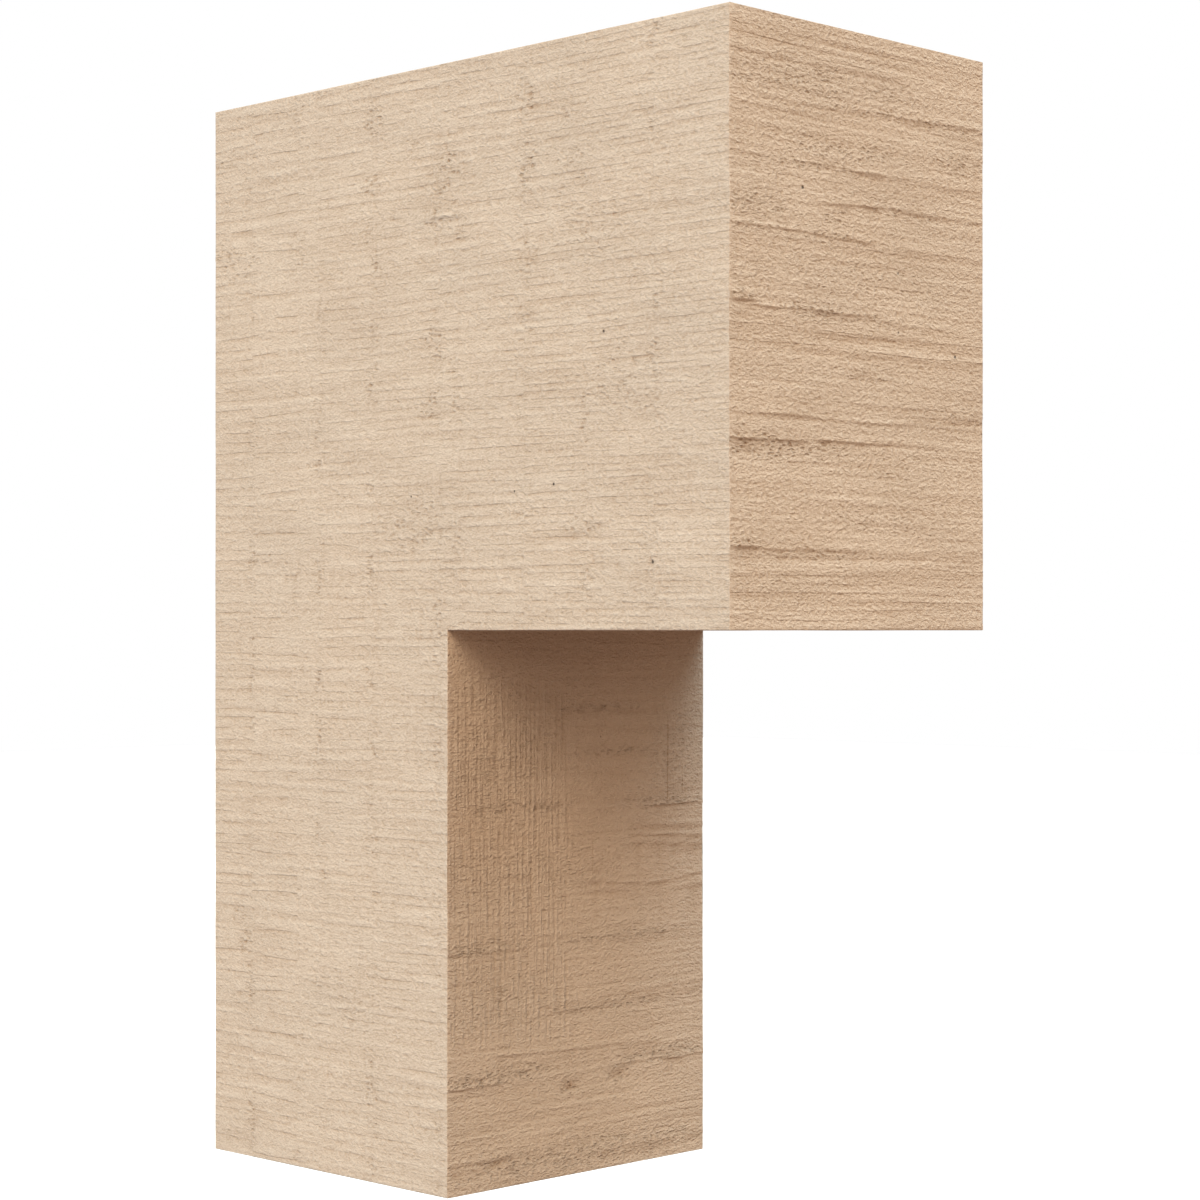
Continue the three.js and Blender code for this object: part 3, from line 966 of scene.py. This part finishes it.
def saw_strokes(wiring, groups, place, finish):
    """The strokes of the saw bands. A ramp in steps gives each band's pitch, share and level. The
    level also moves the pattern, so that no stroke runs on from one band into the next."""
    along, across, through = wiring.split(place)
    ragged = wiring.join(0.0, across, through)
    waver = wiring.pattern(groups.grain, ragged, Width=BAND_RAGGED, Detail=4.0)
    out = wiring.line(waver, BAND_RAGGED_BY, wiring.times(along, -1.0))
    share = wiring.math("DIVIDE", out, BLOCK.arm_reach)
    ramp = wiring.add("ShaderNodeValToRGB", {"Fac": share})
    ramp.color_ramp.interpolation = "CONSTANT"
    starts = (0.0, *(band.end / BLOCK.arm_reach for band in SAW_BANDS[:-1]))
    steps = ramp.color_ramp.elements
    steps.remove(steps[1])
    for number, (start, band) in enumerate(zip(starts, SAW_BANDS)):
        step = steps.new(start) if number else steps[0]
        step.color = (band.pitch / RAMP_PITCH, band.stroke, band.level, 1.0)
    values = wiring.add("ShaderNodeSeparateColor", {"Color": ramp.outputs["Color"]}).outputs
    pitch = wiring.times(values[0], RAMP_PITCH)
    moved_along = wiring.line(values[2], BAND_ALONG, along)
    moved = wiring.join(moved_along, wiring.line(values[2], BAND_ACROSS, across), through)
    strokes = wiring.pattern(groups.strokes, moved, Pitch=pitch)
    depth = wiring.times(values[1], finish.stroke_depth / MM)
    strokes = wiring.times(strokes, depth)
    return strokes, wiring.times(values[2], -finish.band_depth / MM)


# The combed patch of the leg's front lies between these distances from its left edge and its top
COMB_ALONG = (-6, 78)
COMB_DOWN = (14, 178)
COMB_FADE = 14.0  # width over which the combing comes in inside them


def comb_lines(wiring, groups, place, finish):
    """Fine upright lines, faded out round their patch, and long lines where the front is lined. An
    upright line is grain whose length runs across the board."""
    along, across, through = wiring.split(place)
    upright = wiring.join(across, along, through)
    lines = wiring.pattern(groups.grain, upright, Length=32.0, Width=1.9, Detail=1.0)
    left, right = (edge - BLOCK.half_width for edge in COMB_ALONG)
    top, bottom = (BLOCK.soffit - edge for edge in COMB_DOWN)
    mask = 1.0
    for high, low in ((along, left), (right, along), (across, bottom), (top, across)):
        distance = wiring.math("SUBTRACT", high, low)
        mask = wiring.times(mask, wiring.share(distance, COMB_FADE))
    share = wiring.times(mask, finish.comb_depth / MM)
    combed = wiring.times(lines, share)
    return wiring.math("ADD", combed, long_lines(wiring, groups, place, finish)[0]), 0.0


def casting_materials(finish):
    """The four materials of the casting, in the order of the patches' material numbers."""
    makers = (grain_group, stroke_group, crumb_group, pinhole_group, slit_group, primer_group)
    groups = Groups(*(make() for make in makers))

    def holes(marks, places):
        return [(place, mark.radius) for mark, place in zip(marks, places)]

    def cuts(marks, top):
        return [
            (
                {"At": mark.along - BLOCK.half_width, "Low": top - mark.end, "High": top - mark.down},
                mark.share,
            )
            for mark in marks
        ]

    arm_holes = front_places(ARM_PINHOLES, BLOCK.top, BLOCK.arm_reach)
    leg_holes = front_places(LEG_PINHOLES, BLOCK.soffit, BLOCK.leg_depth)
    return [
        sawn_material(
            "sawn_side", "YZX", groups, finish, extra=saw_strokes,
            pinholes=holes(SIDE_PINHOLES, side_places(SIDE_PINHOLES)),
        ),
        sawn_material(
            "sawn_arm_front", "XZY", groups, finish, rough=1.4, shade=0.8, pit=1.2, extra=long_lines,
            pinholes=holes(ARM_PINHOLES, arm_holes),
            slits=cuts(ARM_SLITS, BLOCK.top),
        ),
        sawn_material(
            "sawn_leg_front", "XZY", groups, finish, rough=2.1, shade=0.25, pit=1.0, extra=comb_lines,
            pinholes=holes(LEG_PINHOLES, leg_holes),
            slits=cuts(LEG_SLITS, BLOCK.soffit),
        ),
        sawn_material("cast_level", "YXZ", groups, finish),
    ]


# The studio

FOCAL_PIXELS = 2771.0  # focal length in pixels of an image 1200 pixels wide
IMAGE_PIXELS = 1200.0
SENSOR_WIDTH = 36.0
CENTRE_PIXELS = (582.6, 630.6)  # where the camera's axis meets the image, from its top left corner
CAMERA_PLACE = (-825.3, -978.2, 0.0)  # in millimetres, level with the soffit
CAMERA_HEADING = 45.0  # degrees to the right of straight at the wall

# A large soft light, far away: where it hangs round the corbel, from straight in front towards the
# corbel's left side, how high it hangs, how wide it looks, and its strength and colour
Softbox = namedtuple("Softbox", "name bearing height spread strength colour")

SOFTBOXES = (
    Softbox("left_softbox", 100, 8, 30, 1.92, (0.72, 1.0, 1.25)),
    Softbox("left_front_softbox", 62, 42, 30, 1.305, (1.089, 1.0, 0.817)),
    Softbox("right_front_softbox", -20, 42, 30, 0.85, (0.78, 1.0, 1.15)),
    Softbox("top_softbox", -20, 75, 30, 1.8, (0.8, 1.0, 1.15)),
    Softbox("low_front_softbox", 20, 18, 30, 0.75, (1.3, 1.0, 0.75)),
    Softbox("back_softbox", -150, 35, 60, 1.0, (1.0, 1.0, 1.0)),
)
FLOOR_DROP = 0.6  # how far the floor lies under the corbel's foot, in metres
FLOOR_SIZE = 30.0  # its width and length, in metres
FLOOR_ROUGHNESS = 0.9
UPPER_SHARE = (4.0, 0.5)  # slope and level that turn a direction's height into the upper light's share


def add_object(name, data):
    thing = bpy.data.objects.new(name, data)
    bpy.context.scene.collection.objects.link(thing)
    return thing


def build_camera():
    data = bpy.data.cameras.new("camera")
    data.sensor_width = SENSOR_WIDTH
    data.lens = SENSOR_WIDTH * FOCAL_PIXELS / IMAGE_PIXELS
    data.shift_x = 0.5 - CENTRE_PIXELS[0] / IMAGE_PIXELS
    data.shift_y = CENTRE_PIXELS[1] / IMAGE_PIXELS - 0.5
    data.clip_end = 100
    camera = add_object("camera", data)
    camera.location = Vector(CAMERA_PLACE) * MM
    camera.rotation_euler = (math.radians(90), 0, -math.radians(CAMERA_HEADING))
    bpy.context.scene.camera = camera


def build_softbox(softbox, power):
    data = bpy.data.lights.new(softbox.name, "SUN")
    data.energy = softbox.strength * power
    data.color = softbox.colour
    data.angle = math.radians(softbox.spread)
    light = add_object(softbox.name, data)
    bearing, height = math.radians(softbox.bearing), math.radians(softbox.height)
    level = math.cos(height)
    towards = Vector((-math.sin(bearing) * level, -math.cos(bearing) * level, math.sin(height)))
    light.rotation_euler = towards.to_track_quat("Z", "Y").to_euler()


def build_world(stage):
    """A white backdrop, and an even light from all round that is weaker from below."""
    world = bpy.data.worlds.new("studio")
    bpy.context.scene.world = world
    world.use_nodes = True
    world.node_tree.nodes.clear()
    wiring = Wiring(world.node_tree)
    direction = wiring.add("ShaderNodeTexCoord", {}).outputs["Generated"]
    height = wiring.split(direction)["Z"]
    upper = wiring.line(height, *UPPER_SHARE, clamp=True)
    colour = wiring.mix(upper, (*stage.lower_light, 1.0), (*stage.upper_light, 1.0))
    around = wiring.add("ShaderNodeBackground", {"Color": colour, "Strength": 1.0})
    backdrop = wiring.add("ShaderNodeBackground", {"Color": WHITE, "Strength": 1.0})
    seen = wiring.add("ShaderNodeLightPath", {}).outputs["Is Camera Ray"]
    inputs = {0: seen, 1: around.outputs[0], 2: backdrop.outputs[0]}
    mixed = wiring.add("ShaderNodeMixShader", inputs)
    wiring.add("ShaderNodeOutputWorld", {"Surface": mixed.outputs[0]})


def build_floor(stage):
    half = FLOOR_SIZE / 2
    height = BLOCK.foot * MM - FLOOR_DROP
    mesh = bpy.data.meshes.new("floor")
    corners = [(-half, -half), (half, -half), (half, half), (-half, half)]
    mesh.from_pydata([(x, y, height) for x, y in corners], [], [(0, 1, 2, 3)])
    material = bpy.data.materials.new("pale_floor")
    material.use_nodes = True
    shader = material.node_tree.nodes["Principled BSDF"]
    shader.inputs["Base Color"].default_value = (*stage.floor_colour, 1.0)
    shader.inputs["Roughness"].default_value = FLOOR_ROUGHNESS
    mesh.materials.append(material)
    floor = add_object("floor", mesh)
    floor.visible_diffuse = False
    floor.visible_glossy = False


# The add-on


def depth_property(name, description, default):
    return FloatProperty(
        name=name, description=description, default=default, min=0, unit="LENGTH", precision=5
    )


def colour_property(name, description, default):
    return FloatVectorProperty(
        name=name, description=description, default=default, subtype="COLOR", min=0, max=1
    )


def factor_property(name, description, default, **limits):
    return FloatProperty(name=name, description=description, default=default, min=0, **limits)


class CorbelRelief(bpy.types.PropertyGroup):
    """The modelled relief of the casting."""

    ledge_share: factor_property("Ledges", "Share of each grain ledge's own depth", 0.5)
    grain_depth: depth_property("Grain", "Depth of the long grain of the fronts", 0.00012)
    kerf_depth: depth_property("Kerfs", "Depth of the saw's kerfs on the sides", 0.00006)
    band_depth: depth_property("Bands", "Step between one saw band and another", 0.00012)
    swell_depth: depth_property("Swell", "Depth of the broad unevenness", 0.0002)
    torn_depth: depth_property("Torn lumps", "Height of lumps of torn fibre", 0.0001)
    front_margin: depth_property("Front margin", "Room kept for the lips of the ledges", 0.00035)
    side_margin: depth_property("Side margin", "Room kept for the lumps of the sides", 0.00015)


class CorbelFinish(bpy.types.PropertyGroup):
    """The primer, the shade painted into its colour, and the finest relief, which is shaded."""

    colour: colour_property("Primer", "Colour of the primer", (0.7, 0.556, 0.418))
    # Painted shade: the darker, browner colour mixed in where the surface lies low
    painted_shade_colour: colour_property("Painted shade tone", "Colour of the shade painted in the cuts", (0.385, 0.236, 0.134))
    gloss: factor_property("Gloss", "Specular level of the primer", 0.3, max=1)
    grain_depth: depth_property("Short grain", "Depth of the short grain", 0.00012)
    scratch_depth: depth_property("Fine scratches", "Depth of the fine scratches", 0.00008)
    pore_depth: depth_property("Pores", "Depth of the pores", 0.00018)
    stroke_depth: depth_property("Strokes", "Depth of the saw's strokes on the sides", 0.00026)
    band_depth: depth_property("Band edges", "Step at the edge of a saw band", 0.0003)
    line_depth: depth_property("Long lines", "Depth of the long lines on the fronts", 0.00022)
    comb_depth: depth_property("Combing", "Depth of the upright lines on the leg's front", 0.00044)
    crumb_depth: depth_property("Crumbs", "Depth of the pits of torn fibre", 0.0005)
    crumb_floor: factor_property("Crumbs elsewhere", "Share of pits left on sound wood", 0.14)
    hole_depth: depth_property("Pinholes", "Depth of a pinhole", 0.0006)
    slit_depth: depth_property("Slits", "Depth of a slit", 0.0002)
    # How strongly shade is painted into the colour of cuts, from the fine relief and from the modelled
    # one
    painted_shade_share: factor_property("Fine shade", "Darkening of a cut 1 mm deep, if shaded", 1.1)
    hollow_shade_share: factor_property("Cut shade", "Darkening of a cut 1 mm deep, if modelled", 0.7)


class CorbelStage(bpy.types.PropertyGroup):
    """The studio."""

    light_power: factor_property("Light", "Strength of all the softboxes", 1.0)
    upper_light: colour_property("Upper light", "Even light from above", (0.45, 0.41, 0.365))
    lower_light: colour_property("Lower light", "Even light from below", (0.405, 0.29, 0.236))
    floor_colour: colour_property("Floor", "Colour of the floor", (0.9, 0.9, 0.9))


class CORBEL_OT_casting(bpy.types.Operator):
    """Build the casting's rough-sawn skin and its materials"""

    bl_idname = "corbel.casting"
    bl_label = "Corbel casting"

    def execute(self, context):
        mesh = build_mesh(context.scene.corbel_relief)
        for material in casting_materials(context.scene.corbel_finish):
            mesh.materials.append(material)
        casting = add_object(PIECE, mesh)
        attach(casting, "root")
        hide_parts(NODE)
        return {"FINISHED"}


class CORBEL_OT_stage(bpy.types.Operator):
    """Build the floor, the lights, the backdrop and the camera"""

    bl_idname = "corbel.stage"
    bl_label = "Studio"

    def execute(self, context):
        stage = context.scene.corbel_stage
        build_camera()
        for softbox in SOFTBOXES:
            build_softbox(softbox, stage.light_power)
        build_world(stage)
        build_floor(stage)
        context.scene.view_settings.view_transform = "Standard"
        return {"FINISHED"}


class CORBEL_PT_panel(bpy.types.Panel):
    """The corbel's settings and its two steps."""

    bl_idname = "CORBEL_PT_panel"
    bl_label = "Rough-sawn corbel"
    bl_space_type = "VIEW_3D"
    bl_region_type = "UI"
    bl_category = "Corbel"

    def draw(self, context):
        for name, operator in STEPS:
            settings = getattr(context.scene, name)
            box = self.layout.box()
            for label in settings.__annotations__:
                box.prop(settings, label)
            if operator:
                box.operator(operator.bl_idname)


SETTINGS = {
    "corbel_relief": CorbelRelief,
    "corbel_finish": CorbelFinish,
    "corbel_stage": CorbelStage,
}
STEPS = (
    ("corbel_relief", None),
    ("corbel_finish", CORBEL_OT_casting),
    ("corbel_stage", CORBEL_OT_stage),
)
CLASSES = (*SETTINGS.values(), CORBEL_OT_casting, CORBEL_OT_stage, CORBEL_PT_panel)


def register():
    for kind in CLASSES:
        bpy.utils.register_class(kind)
    for name, kind in SETTINGS.items():
        setattr(bpy.types.Scene, name, PointerProperty(type=kind))


def unregister():
    for name in SETTINGS:
        delattr(bpy.types.Scene, name)
    for kind in reversed(CLASSES):
        bpy.utils.unregister_class(kind)


def main():
    register()
    bpy.ops.corbel.casting()
    bpy.ops.corbel.stage()


if __name__ == "__main__":
    main()
